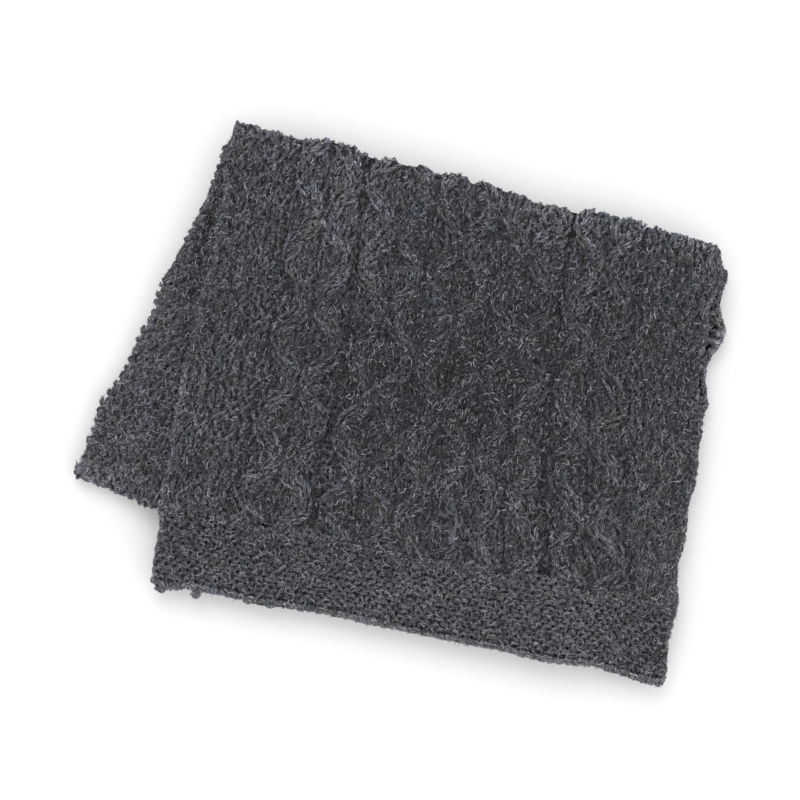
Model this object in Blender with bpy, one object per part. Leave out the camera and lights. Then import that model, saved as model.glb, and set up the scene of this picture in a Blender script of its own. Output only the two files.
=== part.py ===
"""Cable-knit scarf, folded in a zigzag into a flat stack of six layers.

The frame is the stack's own: +X runs across the scarf, +Y from the garter-stitch end towards the
fold at the back, +Z up.  The stack rests on z = 0 and is centred over the origin.

Four pieces: the garter end border, the cabled stretch that lies on top and turns over the back
fold, the second stretch with its wrong side up, which turns under at the front, and one solid for
the four layers beneath.
"""
import math

import bmesh
import bpy
from mathutils import Vector

MM = 0.001

# Fabric
WALL = 3.8 * MM             # plain knitting between the cables
GAP = 0.3 * MM              # between pieces that touch
PRESSED_LAYER = 4.4 * MM    # height of one layer under the others
SECTION_STEP = 4.9 * MM     # between two sections of the top stretch
STITCHES = 59               # across the scarf

# Panels across the scarf, as stitch numbers: band, cable, honeycomb, cable, band,
# with one purl stitch sunk between each two.
PURL_COLUMNS = (7.5, 16.5, 41.5, 50.5)
BAND_CREASES = (3.5, 53.5, 56.0)
CABLE_GROUPS = tuple(range(8, 16, 4)) + tuple(range(17, 41, 4)) + tuple(range(42, 50, 4))
CABLE_PERIOD = 12.0         # rows from one crossing to the next of its kind
FIRST_CROSSING = 2.0        # rows above the border
CABLE_HEIGHT = 2.5 * MM     # crossing strands above the plain wall
CROSSING_LIFT = 0.5 * MM    # and this much more where they cross
CROSSING_SOFTNESS = 0.6     # a smaller one makes the strands change sides in fewer rows
CABLE_HALF_WIDTH = 1.4      # stitches
PURL_DEPTH = 1.7 * MM
PURL_HALF_WIDTH = 1.2       # stitches
CREASE_DEPTH = 0.7 * MM
CREASE_HALF_WIDTH = 1.3     # stitches

# Garter border
BORDER_TOP_LEFT = 49.5 * MM
BORDER_TOP_RIGHT = 45.5 * MM
GARTER_RIDGES = 8
RIDGE_HEIGHT = 1.1 * MM
RIDGE_GROOVE = 0.2 * MM
END_BEAD = 4.6 * MM         # cast-on edge, in front of a deeper crease
END_BEAD_HEIGHT = 0.7 * MM
END_CREASE = 1.6 * MM
SIDE_ROUND = 0.012          # the border's side edges round off over this share of its width
SIDE_FULLNESS = 0.35        # share of the wall's height left right at the edge

# Rows of the cabled panel, in millimetres: above the end | row.
# They lie square to the scarf from the first of these up, and fan out below it.
ROW_LINES = (
    (70.1, 6.0), (109.9, 16.0), (146.6, 25.0), (184.7, 34.0), (222.7, 43.0), (261.2, 52.0),
    (299.7, 61.0),
)

# The cast-on edge, in millimetres: across | how far up the scarf
END_LINE = (
    (-155.0, 2.4), (-143.0, -0.4), (-131.0, 1.7), (-60.0, 2.2), (25.0, 0.6), (97.0, -0.5),
    (121.0, 1.0), (145.0, -1.0), (160.0, -2.8), (166.0, -1.2),
)

# Lines along the top stretch, across the scarf, in millimetres:
# above the end | left edge | purl 1 | purl 2 | purl 3 | purl 4 | right edge
PANEL_LINES = (
    (-5.0, -153.5, -117.0, -64.0, 82.0, 137.0, 164.3),
    (30.0, -154.0, -117.2, -63.8, 81.5, 137.5, 164.5),
    (57.0, -155.5, -117.0, -63.0, 80.5, 136.8, 162.5),
    (83.0, -157.0, -114.5, -63.2, 74.0, 126.5, 159.5),
    (122.0, -156.8, -111.5, -62.6, 68.0, 119.5, 160.0),
    (172.0, -153.0, -110.0, -62.8, 62.8, 110.5, 153.5),
    (222.0, -151.8, -113.2, -67.0, 60.0, 106.0, 147.5),
    (272.0, -154.5, -113.2, -70.2, 59.0, 103.3, 146.5),
    (320.0, -155.0, -114.0, -71.0, 58.0, 103.0, 146.5),
)
LINE_COLUMNS = (0.0,) + PURL_COLUMNS + (float(STITCHES),)

# Back fold of the top stretch
BACK_FOLD_LEFT = (-153.0 * MM, 283.0 * MM)
BACK_FOLD_RIGHT = (146.0 * MM, 262.0 * MM)
BACK_FOLD_BOW = 1.6 * MM            # the turn stands back this much half way along
BACK_FOLD_RADIUS = 1.0 * MM         # inside the turn
FOLD_LIFT_REACH = 26.0 * MM         # the turn holds the cloth up this far from it
TURN_UNDER = 8.0 * MM               # cloth beyond each turn

# Edges of the second stretch from the back seam to its front fold, in millimetres:
# share of the way | left x | left y | right x | right y
SECOND_EDGES = (
    (0.00, -155.5, 274.8, 146.0, 253.6),
    (0.12, -160.0, 250.0, 140.8, 225.0),
    (0.28, -167.5, 215.0, 134.0, 186.9),
    (0.46, -179.0, 177.0, 126.2, 144.1),
    (0.62, -187.0, 143.0, 119.3, 106.0),
    (0.76, -197.0, 113.0, 113.3, 72.6),
    (0.89, -204.5, 86.0, 107.7, 41.7),
    (1.00, -207.0, 61.6, 103.0, 15.5),
)
FRONT_FOLD_RADIUS = 0.3 * MM
WALE_HEIGHT = 1.2 * MM              # back of the purl column, raised on the wrong side
WALE_COLUMN = 7.6
PUCKER_HEIGHT = 0.8 * MM            # back of the cable crossings
SHOWN_REACH = 70.0 * MM             # the part of the second stretch that shows
LOBE_DEPTH = 1.5 * MM               # bulges of a side edge between crossings
LOBE_PITCH = 41.0 * MM
TOP_LOBE_DEPTH = 0.9 * MM
LOBE_PHASE = 0.8            # the bulges of the two side edges lie this far apart, in radians

# Hidden layers, from the floor up, in millimetres:
# front left x, y | front right x, y | back right x, y | back left x, y
HIDDEN_CORNERS = (
    (-147.0, 9.5, 155.0, 7.0, 150.0, 257.5, -149.0, 279.5),
    (-150.0, 6.5, 157.0, 5.0, 154.5, 255.5, -150.0, 281.5),
    (-148.5, 8.0, 158.0, 6.0, 157.5, 255.0, -149.5, 280.5),
    (-203.8, 70.4, 102.0, 24.6, 145.0, 260.0, -153.0, 282.0),
)
# Where the third and fourth layers touch, on the same lines as above.
NECK_CORNERS = (-145.5, 63.6, 99.5, 27.8, 142.5, 256.0, -148.0, 278.0)
LAYER_LOBES = (1.5 * MM, 1.5 * MM, 2.5 * MM, 0.6 * MM)
LAYER_LEVELS = (0.0, 0.25, 0.75, 0.96)      # rings in one layer, as shares of its height
CORNER_RADIUS = 9.0 * MM
SIDE_STEPS = 12
END_STEPS = 14
CORNER_STEPS = 4
OVERHANG_EDGE = -150.0 * MM         # left of this the upper layers hang over the lower ones
OVERHANG_REACH = 46.0 * MM
OVERHANG_DROP = 9.5 * MM
OVERHANG_SLACK = 1.5 * MM           # the third layer hangs this much lower there than the second

# Heights of the stack
HIDDEN_TOP = 4 * PRESSED_LAYER
THIRD_LAYER_FLOOR = 3 * PRESSED_LAYER
SECOND_FLOOR = HIDDEN_TOP + GAP
SECOND_TOP = SECOND_FLOOR + WALL
TOP_FLOOR = SECOND_TOP + GAP
FLAP_DROP = TOP_FLOOR - (THIRD_LAYER_FLOOR + 2 * GAP)   # where nothing but the lower three hold it
FLAP_CLEARANCE = 5.0 * MM
FLAP_DROP_REACH = 44.0 * MM


# ------------------------------------------------------------------------------ small helpers

def smoothstep(value, start, end):
    """0 before start, 1 after end, and a smooth rise between them."""
    share = min(max((value - start) / (end - start), 0.0), 1.0)
    return share * share * (3.0 - 2.0 * share)


def read_table(table, position, column, unit=1.0):
    """Value of a column at a position in the table's first column, on a smooth curve.

    The unit is that of the first column.
    """
    rows = range(len(table))
    upper = next((row for row in rows if table[row][0] * unit > position), len(table) - 1)
    upper = max(upper, 1)
    before, start, end, after = (
        table[min(max(row, 0), len(table) - 1)]
        for row in (upper - 2, upper - 1, upper, upper + 1))
    share = min(max((position / unit - start[0]) / (end[0] - start[0]), 0.0), 1.0)
    slope_start = (end[column] - before[column]) / max(end[0] - before[0], 1e-9)
    slope_end = (after[column] - start[column]) / max(after[0] - start[0], 1e-9)
    span = end[0] - start[0]
    value = ((2 * share ** 3 - 3 * share ** 2 + 1) * start[column]
             + (share ** 3 - 2 * share ** 2 + share) * span * slope_start
             + (3 * share ** 2 - 2 * share ** 3) * end[column]
             + (share ** 3 - share ** 2) * span * slope_end)
    return value


def mixed(first, second, share):
    return first + (second - first) * share


class Fold:
    """A turn of the cloth through half a circle about a straight line."""

    def __init__(self, left, right, radius, forward):
        self.left = Vector(left)
        self.along = (Vector(right) - self.left).normalized()
        across = Vector((-self.along.y, self.along.x))
        self.across = across if across.y * forward > 0 else -across
        self.radius = radius
        self.turn = math.pi * (radius + WALL / 2)

    def distance(self, x, y):
        """How far a point of the flat cloth lies past the line."""
        return (Vector((x, y)) - self.left).dot(self.across)

    def foot(self, x, y):
        return Vector((x, y)) - self.across * self.distance(x, y)

    def angle(self, x, y):
        return min(max(self.distance(x, y) / self.turn, 0.0), 1.0) * math.pi

    def place(self, x, y, height, axis_z):
        """Point at a height above the inner face, on the turn or beyond it."""
        angle = self.angle(x, y)
        beyond = max(self.distance(x, y) - self.turn, 0.0)
        reach = (self.radius + height) * math.sin(angle) - beyond
        spot = self.foot(x, y) + self.across * reach
        return Vector((spot.x, spot.y, axis_z + (self.radius + height) * math.cos(angle)))


back_fold = Fold(BACK_FOLD_LEFT, BACK_FOLD_RIGHT, BACK_FOLD_RADIUS, forward=1)
front_fold = Fold((SECOND_EDGES[-1][1] * MM, SECOND_EDGES[-1][2] * MM),
                  (SECOND_EDGES[-1][3] * MM, SECOND_EDGES[-1][4] * MM),
                  FRONT_FOLD_RADIUS, forward=-1)


# ------------------------------------------------------------------------------ cloth surfaces

def overhang_drop(x):
    """How far the upper layers sink where they stick out past the lower ones on the left."""
    return OVERHANG_DROP * smoothstep(-x, -OVERHANG_EDGE, -OVERHANG_EDGE + OVERHANG_REACH)


def flap_floor(x, y):
    """Inner face of the top stretch: on the second stretch, or sunk beside and before it."""
    past_front = front_fold.distance(x, y) - WALL
    right_start = Vector((SECOND_EDGES[0][3] * MM, SECOND_EDGES[0][4] * MM))
    right_end = Vector((SECOND_EDGES[-1][3] * MM, SECOND_EDGES[-1][4] * MM))
    along = (right_end - right_start).normalized()
    past_right = (Vector((x, y)) - right_start).dot(Vector((-along.y, along.x)))
    outside = math.hypot(max(past_front, 0.0), max(past_right, 0.0))
    sunk = FLAP_DROP * smoothstep(outside, FLAP_CLEARANCE, FLAP_CLEARANCE + FLAP_DROP_REACH)
    lifted = 2 * BACK_FOLD_RADIUS - GAP
    lift = lifted * smoothstep(back_fold.distance(x, y), -FOLD_LIFT_REACH, 0.0)
    return TOP_FLOOR - sunk + lift


def top_point(x, y, height):
    """Point of the top stretch above its inner face, round the back fold too."""
    middle = math.sin(math.pi * min(max((x - BACK_FOLD_LEFT[0])
                                        / (BACK_FOLD_RIGHT[0] - BACK_FOLD_LEFT[0]), 0.0), 1.0))
    near = smoothstep(back_fold.distance(x, y), -FOLD_LIFT_REACH, 0.0)
    under = smoothstep(back_fold.angle(x, y), math.radians(60), math.radians(180))
    bow = Vector((0.0, -BACK_FOLD_BOW * middle * near * (1.0 - under), 0.0))
    if back_fold.distance(x, y) <= 0.0:
        return Vector((x, y, flap_floor(x, y) + height)) + bow
    foot = back_fold.foot(x, y)
    return back_fold.place(x, y, height, flap_floor(foot.x, foot.y) - BACK_FOLD_RADIUS) + bow


def side_line(column, y):
    """Place of one of the table's lines, with the bulges of the two side edges."""
    outwards = {1: -1.0, len(LINE_COLUMNS): 1.0}.get(column, 0.0)
    bulge = TOP_LOBE_DEPTH * math.sin(2 * math.pi * y / LOBE_PITCH + LOBE_PHASE * outwards)
    return read_table(PANEL_LINES, y, column, MM) * MM + outwards * bulge


def column_x(column, y):
    """Place of a stitch column across the scarf, at a distance above the end."""
    right = next(i for i in range(1, len(LINE_COLUMNS)) if column <= LINE_COLUMNS[i])
    share = (column - LINE_COLUMNS[right - 1]) / (LINE_COLUMNS[right] - LINE_COLUMNS[right - 1])
    return mixed(side_line(right, y), side_line(right + 1, y), share)


def border_top(share):
    """Where the border meets the cabled panel, at a share of the way across."""
    return mixed(BORDER_TOP_LEFT, BORDER_TOP_RIGHT, share)


def row_at(column, y):
    """Row number of the cabled panel at a distance above the end."""
    start = border_top(column / STITCHES)
    level_y, level_row = ROW_LINES[0][0] * MM, ROW_LINES[0][1]
    if y < level_y:
        return level_row * (y - start) / (level_y - start)
    return read_table(ROW_LINES, y, 1, MM)


def strand_side(row):
    """+1 where a pair of cables stands apart, -1 where it has closed, with quick crossings."""
    wave = math.sin(2 * math.pi * (row - FIRST_CROSSING) / CABLE_PERIOD)
    return wave * math.sqrt((1.0 + CROSSING_SOFTNESS) / (wave * wave + CROSSING_SOFTNESS))


def cable_relief(column, row):
    """Height of the knitted relief above the plain wall."""
    relief = 0.0
    for purl in PURL_COLUMNS:
        relief -= PURL_DEPTH * max(1.0 - abs(column - purl) / PURL_HALF_WIDTH, 0.0)
    for crease in BAND_CREASES:
        relief -= CREASE_DEPTH * max(1.0 - abs(column - crease) / CREASE_HALF_WIDTH, 0.0)
    for number, first in enumerate(CABLE_GROUPS):
        outwards = -1.0 if number % 2 == 0 else 1.0
        strand = first + 2.0 + outwards * strand_side(row)
        offset = (column - strand) / CABLE_HALF_WIDTH
        if abs(offset) < 1.0 and first - 0.5 < column < first + 4.5:
            crossing = 1.0 - min(abs(strand_side(row)), 1.0)
            height = CABLE_HEIGHT + CROSSING_LIFT * crossing
            relief += height * math.sqrt(1.0 - offset * offset)
    return relief


# ------------------------------------------------------------------------------ building

def wool_material(name, colour, roughness):
    material = bpy.data.materials.new(name)
    material.use_nodes = True
    shader = material.node_tree.nodes["Principled BSDF"]
    shader.inputs["Base Color"].default_value = (*colour, 1.0)
    shader.inputs["Roughness"].default_value = roughness
    shader.inputs["Metallic"].default_value = 0.0
    material.diffuse_color = (*colour, 1.0)
    return material


def lofted_piece(name, rings, material, collection):
    """Closed piece through rings of equally many points, with a flat face on each end."""
    mesh = bpy.data.meshes.new(name)
    work = bmesh.new()
    layers = [[work.verts.new(point) for point in ring] for ring in rings]
    for lower, upper in zip(layers, layers[1:]):
        for index in range(len(lower)):
            following = (index + 1) % len(lower)
            work.faces.new((lower[index], lower[following], upper[following], upper[index]))
    work.faces.new(list(reversed(layers[0])))
    work.faces.new(layers[-1])
    bmesh.ops.recalc_face_normals(work, faces=work.faces)
    work.to_mesh(mesh)
    work.free()
    mesh.shade_smooth()
    mesh.set_sharp_from_angle(angle=math.radians(60))
    mesh.materials.append(material)
    piece = bpy.data.objects.new(name, mesh)
    collection.objects.link(piece)
    return piece


def steps(start, end, spacing):
    """Evenly spaced values from start to end, at most the spacing apart."""
    count = max(1, math.ceil(abs(end - start) / spacing - 1e-6))
    return [mixed(start, end, index / count) for index in range(count + 1)]


def wall_section(outer, inner, left_edge, right_edge):
    """Ring round the wall: outer face left to right, one edge, inner face back, other edge."""
    return outer + right_edge + inner[::-1] + left_edge


# ------------------------------------------------------------------------------ the four pieces

def border_point(share, height_share, raised):
    """Point of the border: across, up from the cast-on edge, and above its inner face."""
    column = share * STITCHES
    x = column_x(column, height_share * border_top(share))
    end = read_table(END_LINE, x, 1, MM) * MM
    y = mixed(end, border_top(share) - GAP, height_share)
    return Vector((x, y, flap_floor(x, y) + raised))


def build_end_border(material, collection):
    """Garter ridges across the end, with the cast-on bead in front."""
    height = border_top(0.5) - GAP
    ridge_pitch = (height - END_BEAD) / GARTER_RIDGES
    profile = [(0.6 * MM, 0.9 * WALL), (0.5 * END_BEAD, WALL + END_BEAD_HEIGHT),
               (END_BEAD, WALL - END_CREASE)]
    for ridge in range(GARTER_RIDGES):
        start = END_BEAD + ridge * ridge_pitch
        profile += [(start + 0.28 * ridge_pitch, WALL + 0.6 * RIDGE_HEIGHT),
                    (start + 0.58 * ridge_pitch, WALL + RIDGE_HEIGHT),
                    (start + ridge_pitch, WALL - RIDGE_GROOVE)]
    under = steps(height, 0.8 * MM, 11.0 * MM)
    edge_shares = [0.0, SIDE_ROUND / 3, SIDE_ROUND]
    shares = edge_shares + steps(0.03, 0.97, 0.036) + [1.0 - share for share in edge_shares[::-1]]
    rings = []
    for share in shares:
        edge = min(share, 1.0 - share) / SIDE_ROUND
        fullness = mixed(SIDE_FULLNESS, 1.0, math.sqrt(min(edge, 1.0)))
        ring = [border_point(share, y / height, WALL / 2 + (raised - WALL / 2) * fullness)
                for y, raised in profile]
        ring += [border_point(share, y / height, WALL / 2 * (1.0 - fullness)) for y in under]
        ring.append(border_point(share, 0.0, WALL * 0.45))
        rings.append(ring)
    return lofted_piece("end_border", rings, material, collection)


def fold_spot(column, past):
    """Point of the flat top stretch on the back fold's line, or past it."""
    left = Vector(BACK_FOLD_LEFT)
    across = (column_x(column, left.y) - left.x) / back_fold.along.x
    return left + back_fold.along * across + back_fold.across * past


def top_section(flat_point):
    """Ring round the top stretch where flat_point gives each column's place."""

    def outer_point(column):
        spot = flat_point(column)
        tucked = smoothstep(back_fold.angle(*spot), math.radians(100), math.radians(160))
        relief = cable_relief(column, row_at(column, spot.y)) * (1.0 - tucked)
        return top_point(*spot, WALL + relief)

    outer = [outer_point(index + 0.5) for index in range(STITCHES)]
    inner_columns = steps(0.6, 40.0, 6.7) + steps(42.0, STITCHES - 0.6, 2.1)
    inner = [top_point(*flat_point(column), 0.0) for column in inner_columns]
    left = [top_point(*flat_point(column), WALL * height)
            for column, height in ((0.15, 0.12), (0.0, 0.5), (0.12, 0.86))]
    right = [top_point(*flat_point(STITCHES - column), WALL * height)
             for column, height in ((0.12, 0.86), (0.0, 0.5), (0.15, 0.12))]
    return wall_section(outer, inner, left, right)


def build_top_stretch(material, collection):
    """Cabled cloth from the border over the back fold, with one outer point for each stitch."""
    rings = []
    sections = math.ceil((BACK_FOLD_LEFT[1] - BORDER_TOP_LEFT) / SECTION_STEP)
    for share in steps(0.0, 1.0, 1.0 / sections):

        def flat_point(column, share=share):
            y = mixed(border_top(column / STITCHES), fold_spot(column, 0.0).y, share)
            return Vector((column_x(column, y), y))

        rings.append(top_section(flat_point))
    for past in steps(0.0, back_fold.turn, 2.2 * MM)[1:] + [back_fold.turn + TURN_UNDER]:
        rings.append(top_section(lambda column, past=past: fold_spot(column, past)))
    return lofted_piece("top_stretch", rings, material, collection)


def second_edge_lobe(along):
    """Sideways bulge of the second stretch's edge between two crossings."""
    return LOBE_DEPTH * math.sin(2 * math.pi * along / LOBE_PITCH)


def build_second_stretch(material, collection):
    """Second stretch with its wrong side up, turned under along the front fold."""
    width = (SECOND_EDGES[0][3] - SECOND_EDGES[0][1]) * MM
    length = (SECOND_EDGES[0][2] - SECOND_EDGES[-1][2]) * MM
    shown = steps(4.0 * MM, SHOWN_REACH, 5.2 * MM)
    hidden = steps(SHOWN_REACH, width - 3.0 * MM, 34.0 * MM)[1:]
    upper = [distance / width for distance in shown + hidden]
    inner = steps(0.012, 0.22, 0.045) + steps(0.42, 0.988, 0.19)
    rings = []

    def flat_point(share, along, past=0.0):
        left = Vector([read_table(SECOND_EDGES, along, column) * MM for column in (1, 2)])
        right = Vector([read_table(SECOND_EDGES, along, column) * MM for column in (3, 4)])
        left.x -= second_edge_lobe(along * length) * math.sin(math.pi * along)
        spot = left + (right - left) * share + front_fold.across * past
        return spot.x, spot.y

    def relief(share, point, along):
        column = share * STITCHES
        edge_x = column_x(0.0, min(max(point[1], 0.0), 300.0 * MM))
        shows = smoothstep(edge_x - point[0], 0.5 * MM, 5.0 * MM)
        wale = WALE_HEIGHT * max(1.0 - abs(column - WALE_COLUMN) / 1.1, 0.0)
        pucker = PUCKER_HEIGHT * max(math.sin(2 * math.pi * along * length / LOBE_PITCH), 0.0)
        band = 1.0 - smoothstep(column, 5.0, 7.0)
        return (wale + pucker * (0.4 + 0.6 * band)) * shows

    def section(along, past=0.0):
        def point(share, height):
            x, y = flat_point(share, along, past)
            foot = front_fold.foot(x, y) if past > 0.0 else Vector((x, y))
            sunk = overhang_drop(foot.x)
            if past <= 0.0:
                return Vector((x, y, SECOND_FLOOR - sunk + height))
            return front_fold.place(x, y, height, SECOND_FLOOR - FRONT_FOLD_RADIUS - sunk)

        outer = []
        for share in upper:
            flat = flat_point(share, along, past)
            fade = 1.0 - smoothstep(front_fold.angle(*flat), math.radians(80), math.radians(150))
            outer.append(point(share, WALL + relief(share, flat, along) * fade))
        under = [point(share, 0.0) for share in inner]
        left = [point(share, WALL * height)
                for share, height in ((0.003, 0.12), (0.0, 0.5), (0.002, 0.86))]
        right = [point(1.0 - share, WALL * height)
                 for share, height in ((0.002, 0.86), (0.0, 0.5), (0.003, 0.12))]
        return wall_section(outer, under, left, right)

    for along in steps(0.0, 1.0, 1.0 / 32):
        rings.append(section(along))
    for past in steps(0.0, front_fold.turn, 1.3 * MM)[1:] + [front_fold.turn + TURN_UNDER]:
        rings.append(section(1.0, past))
    return lofted_piece("second_stretch", rings, material, collection)


def rounded_square(width, length):
    """Points round a unit square whose corners are rounded at real size."""
    radius_s = CORNER_RADIUS / width
    radius_t = CORNER_RADIUS / length
    corners = ((0.0, 0.0, 180.0), (1.0, 0.0, 270.0), (1.0, 1.0, 0.0), (0.0, 1.0, 90.0))
    points = []
    for number, (s, t, first_angle) in enumerate(corners):
        centre_s = mixed(radius_s, 1.0 - radius_s, s)
        centre_t = mixed(radius_t, 1.0 - radius_t, t)
        for step in range(CORNER_STEPS + 1):
            angle = math.radians(first_angle + 90.0 * step / CORNER_STEPS)
            points.append((centre_s + radius_s * math.cos(angle),
                           centre_t + radius_t * math.sin(angle)))
        following = corners[(number + 1) % 4]
        next_s = mixed(radius_s, 1.0 - radius_s, following[0])
        next_t = mixed(radius_t, 1.0 - radius_t, following[1])
        last_s, last_t = points[-1]
        end = (next_s, last_t) if number % 2 == 0 else (last_s, next_t)
        count = END_STEPS if number % 2 == 0 else SIDE_STEPS
        points += [(mixed(last_s, end[0], step / count), mixed(last_t, end[1], step / count))
                   for step in range(1, count)]
    return points


def round_inset(height, middle, half_height):
    """How far a round edge of this half height stands back at a height."""
    offset = min(abs(height - middle) / half_height, 1.0)
    return half_height * (1.0 - math.sqrt(1.0 - offset * offset))


def layer_outline(corners, side, front, back, lobes, phase):
    """Points round a layer, drawn in at its sides, front and back, with bulging side edges."""
    front_left, front_right, back_right, back_left = (
        Vector((corners[i] * MM, corners[i + 1] * MM)) for i in (0, 2, 4, 6))
    width = (front_right - front_left).length
    length = (back_left - front_left).length
    outline = []
    for s, t in rounded_square(width, length):
        s_in = 0.5 + (s - 0.5) * (1.0 - 2.0 * side / width)
        t_in = 0.5 + (t - 0.5) * (1.0 - 2.0 * (front if t < 0.5 else back) / length)
        near = mixed(front_left, front_right, s_in)
        far = mixed(back_left, back_right, s_in)
        spot = mixed(near, far, t_in)
        wave = math.sin(2 * math.pi * (spot.y / LOBE_PITCH + phase))
        spot.x += lobes * wave * (2.0 * s - 1.0) * min(2.5 * math.sin(math.pi * t), 1.0)
        outline.append(spot)
    return outline


def build_hidden_layers(material, collection):
    """The four lower layers as one solid: round side edges, and ends folded in pairs."""
    rings = []
    for layer, corners in enumerate(HIDDEN_CORNERS):
        floor = layer * PRESSED_LAYER
        if layer == 3:
            neck = layer_outline(NECK_CORNERS, 0.0, 0.0, 0.0, 0.0, 0.0)
            rings.append([Vector((spot.x, spot.y, floor - 0.1 * MM)) for spot in neck])
        for level in LAYER_LEVELS:
            z = floor + level * PRESSED_LAYER
            side = round_inset(z, floor + PRESSED_LAYER / 2, PRESSED_LAYER / 2)
            back = round_inset(z, (1 if layer < 2 else 3) * PRESSED_LAYER, PRESSED_LAYER)
            front = {0: side, 3: 0.0}.get(layer)
            if front is None:
                front = round_inset(z, 2 * PRESSED_LAYER, PRESSED_LAYER)
            ring = []
            phase = 0.3 * (layer - 2)
            for spot in layer_outline(corners, side, front, back, LAYER_LOBES[layer], phase):
                sunk = 0.0
                if layer == 3:
                    slack = OVERHANG_SLACK * smoothstep(-spot.x, -OVERHANG_EDGE - 5 * MM,
                                                        -OVERHANG_EDGE + 10 * MM)
                    sunk = overhang_drop(spot.x) + slack
                ring.append(Vector((spot.x, spot.y, z - sunk)))
            rings.append(ring)
    return lofted_piece("hidden_layers", rings, material, collection)


def centre_on_floor(pieces):
    """Move the finished meshes so that the stack's box is centred over the origin."""
    corners = [vertex.co for piece in pieces for vertex in piece.data.vertices]
    middle = Vector((
        (min(corner.x for corner in corners) + max(corner.x for corner in corners)) / 2,
        (min(corner.y for corner in corners) + max(corner.y for corner in corners)) / 2, 0.0))
    for piece in pieces:
        for vertex in piece.data.vertices:
            vertex.co -= middle


def main():
    for old in list(bpy.data.objects):
        bpy.data.objects.remove(old, do_unlink=True)
    collection = bpy.data.collections.new("knit_scarf")
    bpy.context.scene.collection.children.link(collection)
    border_wool = wool_material("border_wool", (0.066, 0.065, 0.073), 0.95)
    cable_wool = wool_material("cable_wool", (0.062, 0.061, 0.069), 0.95)
    wrong_side_wool = wool_material("wrong_side_wool", (0.057, 0.057, 0.064), 0.96)
    hidden_wool = wool_material("hidden_wool", (0.052, 0.052, 0.059), 0.96)
    centre_on_floor([
        build_end_border(border_wool, collection),
        build_top_stretch(cable_wool, collection),
        build_second_stretch(wrong_side_wool, collection),
        build_hidden_layers(hidden_wool, collection),
    ])


main()
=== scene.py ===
"""Looks of the folded cable-knit scarf: every stitch that shows as plied yarn over a dark ground.

Points are worked out in millimetres in the scarf's own design frame, where the cast-on edge of the
end border lies near y = 0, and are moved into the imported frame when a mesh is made.
"""
from math import cos, pi, radians, sin

import bpy
import numpy as np
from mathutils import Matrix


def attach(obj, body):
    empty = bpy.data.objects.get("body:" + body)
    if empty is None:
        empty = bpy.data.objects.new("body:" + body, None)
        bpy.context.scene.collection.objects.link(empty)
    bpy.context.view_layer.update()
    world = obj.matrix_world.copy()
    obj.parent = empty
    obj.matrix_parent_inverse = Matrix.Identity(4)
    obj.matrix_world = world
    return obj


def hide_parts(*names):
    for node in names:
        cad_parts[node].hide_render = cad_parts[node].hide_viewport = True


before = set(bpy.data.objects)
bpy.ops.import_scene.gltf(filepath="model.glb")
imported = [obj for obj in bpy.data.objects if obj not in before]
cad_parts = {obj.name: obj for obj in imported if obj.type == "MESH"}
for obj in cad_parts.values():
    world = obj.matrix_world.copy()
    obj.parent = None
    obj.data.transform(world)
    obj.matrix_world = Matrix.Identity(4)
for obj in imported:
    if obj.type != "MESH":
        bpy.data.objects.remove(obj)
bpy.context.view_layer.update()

MM = 0.001
ORIGIN = np.array((20.994, -142.310, 0.0))  # the design frame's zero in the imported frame
random = np.random.default_rng(11)

# Fabric
WALL = 3.8
PRESSED_LAYER = 4.4
STITCH_ROW = 4.08
STITCH_ROWS = 1.46  # a stitch is this many rows of the cable grid tall
LEG_ROWS = 1.22  # rows to one unit of a leg's length
STITCHES = 59
STITCH_WIDTH = 5.2
YARN = 1.18  # radius of the plied yarn
PLY_TWIST = 0.52  # radians to a millimetre of yarn
PLY_RELIEF = 0.18
FIBRE_WIDTH = 0.34
INSET = 1.7  # the ground lies this much under the yarn's crests
SLACKNESS = 0.6  # sideways wandering of the cloth
UNEVENNESS = 0.016  # wandering of its height, as a share of that height
SLACK_WAVE, HEIGHT_WAVE = 44.0, 19.0
BACK_SPREAD = 0.7  # how much the back pair of a cable spreads at a crossing
BACK_STEP = 1.15  # rows from one back stitch to the next
# Painted shade: yarn deeper under the crests is coloured darker, down to DEEPEST_SHADE of its tone
SHADE_START, SHADE_END = 0.4, 2.35  # depths under the crests between which yarn darkens
DEEPEST_SHADE = 0.15
# Where the painted depth shade is weakened, tones are drawn toward this value, by at most this
# share
EVENED_TONE, MOST_EVENED = 0.85, 0.7
PURL_PULL = 0.28  # how far the stitches beside a purl line close over it
PURL_PULL_REACH = 1.6
COVERED = 7.0  # the second stretch's yarn reaches this far under the top one
SETTLING = 3.4  # the flap sinks this much beside the layers under it
SETTLING_SPAN = (1.0, 14.0, 24.0, 49.0)  # it starts, is full, eases and ends this far out

# Panels across the scarf, as stitch numbers
PURL_COLUMNS = (7.5, 16.5, 41.5, 50.5)
CABLE_GROUPS = (*range(8, 16, 4), *range(17, 41, 4), *range(42, 50, 4))
CABLE_PERIOD = 12.0
FIRST_CROSSING = 2.0
CABLE_HEIGHT = 2.1  # the front strands' crests over the plain cloth
CROSSING_LIFT = 0.5
CROSSING_SOFTNESS = 0.6
CABLE_HALF_WIDTH = 1.4
FRONT_SQUEEZE, BACK_SQUEEZE = 0.92, 0.96  # how close the wales of a strand lie
# Painted light and shade of the cables: front strands lighter, most on their crowns, back strands
# darker, most at crossings
FRONT_SHADE, CROWN_SHADE = 0.87, 0.26  # tone of a front strand, and how much its crown adds
BACK_SHADE, CROSSING_SHADE = 0.77, 0.22  # tone of a back strand, and how much a crossing takes
CROSSING_SINK, CROSSING_SWELL = 0.3, 0.12  # how a back strand gives way and thickens there
PURL_DEPTH, PURL_REACH = 1.7, 1.2
CREASES = (3.5, 53.5, 56.0)  # lines between the bands' wales that lie lower
CREASE_DEPTH, CREASE_REACH = 0.7, 1.3

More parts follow.
